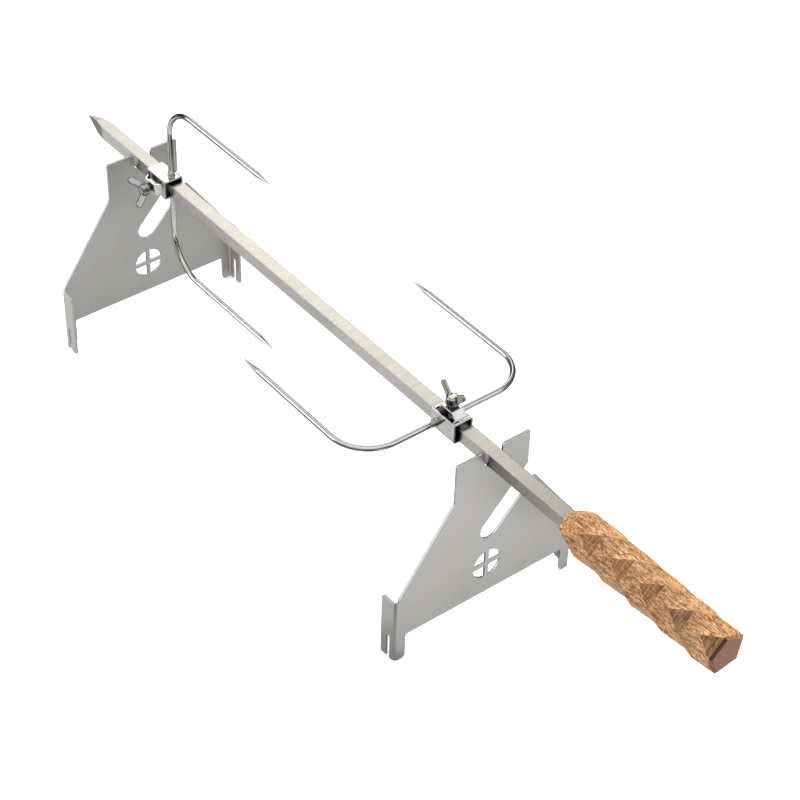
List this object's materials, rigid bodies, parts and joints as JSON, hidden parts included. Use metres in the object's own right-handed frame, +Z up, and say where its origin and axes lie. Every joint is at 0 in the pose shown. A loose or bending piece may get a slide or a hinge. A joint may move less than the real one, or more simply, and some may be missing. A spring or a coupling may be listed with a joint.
{
  "type": "rotisserie spit roaster",
  "caption": "Hand-turned rotisserie: a square pointed bar with a faceted wooden grip lies in the notches of bent sheet stands and carries sliding clamped forks with wing screws.",
  "frame": {"origin": "on the floor, under the middle of the whole set", "axes": "+X along the spit towards the handle, +Z up, +Y to the side where the low slots open"},
  "size_m": [0.692, 0.1518, 0.2126],
  "materials": {
    "stand_steel": "upright brushed grain",
    "bar_steel": "cross-ground, worn",
    "handle_wood": "oiled beech, knife-cut facets",
    "clamp_chrome": "bright plated",
    "tine_chrome": "bright plated wire",
    "screw_chrome": "satin plated casting"
  },
  "bodies": {
    "front_stand": {"front_stand_plate": "stand_steel"},
    "rear_stand": {"rear_stand_plate": "stand_steel"},
    "spit": {"spit_bar": "bar_steel", "handle_grip": "handle_wood"},
    "front_fork": {"front_fork_clamp_channel": "clamp_chrome", "front_fork_clamp_saddle": "clamp_chrome", "front_fork_saddle_nut": "screw_chrome", "front_fork_left_tine": "tine_chrome", "front_fork_right_tine": "tine_chrome"},
    "front_screw_stud": {"front_fork_screw_stud": "screw_chrome"},
    "front_wing_head": {"front_fork_wing_head": "screw_chrome"},
    "rear_fork": {"rear_fork_clamp_channel": "clamp_chrome", "rear_fork_clamp_saddle": "clamp_chrome", "rear_fork_saddle_nut": "screw_chrome", "rear_fork_left_tine": "tine_chrome", "rear_fork_right_tine": "tine_chrome"},
    "rear_screw_stud": {"rear_fork_screw_stud": "screw_chrome"},
    "rear_wing_head": {"rear_fork_wing_head": "screw_chrome"}
  },
  "joints": [
    {"name": "rear_stand_place", "type": "slide", "parent": "front_stand", "child": "rear_stand", "axis": [1, 0, 0], "range_m": [-0.04, 0]},
    {"name": "spit_turn", "type": "hinge", "parent": "front_stand", "child": "spit", "pos_m": [0, 0, 0.1396], "axis": [1, 0, 0], "continuous": true},
    {"name": "front_fork_slide", "type": "slide", "parent": "spit", "child": "front_fork", "axis": [1, 0, 0], "range_m": [-0.15, 0.024]},
    {"name": "front_screw_advance", "type": "slide", "parent": "front_fork", "child": "front_screw_stud", "axis": [0, 0, 1], "range_m": [0, 0.0041]},
    {"name": "front_wing_turn", "type": "hinge", "parent": "front_screw_stud", "child": "front_wing_head", "pos_m": [0.0948, -0.0011, 0.1396], "axis": [0, 0, 1], "range_deg": [0, 1800]},
    {"name": "rear_fork_slide", "type": "slide", "parent": "spit", "child": "rear_fork", "axis": [1, 0, 0], "range_m": [-0.02, 0.15]},
    {"name": "rear_screw_advance", "type": "slide", "parent": "rear_fork", "child": "rear_screw_stud", "axis": [0, -1, 0], "range_m": [0, 0.0041]},
    {"name": "rear_wing_turn", "type": "hinge", "parent": "rear_screw_stud", "child": "rear_wing_head", "pos_m": [-0.2379, 0, 0.1407], "axis": [0, -1, 0], "range_deg": [0, 1800]}
  ],
  "couplings": [
    {"joint": "front_screw_advance", "follows": "front_wing_turn", "m_per_rad": 0.00012732},
    {"joint": "rear_screw_advance", "follows": "rear_wing_turn", "m_per_rad": 0.00012732}
  ]
}
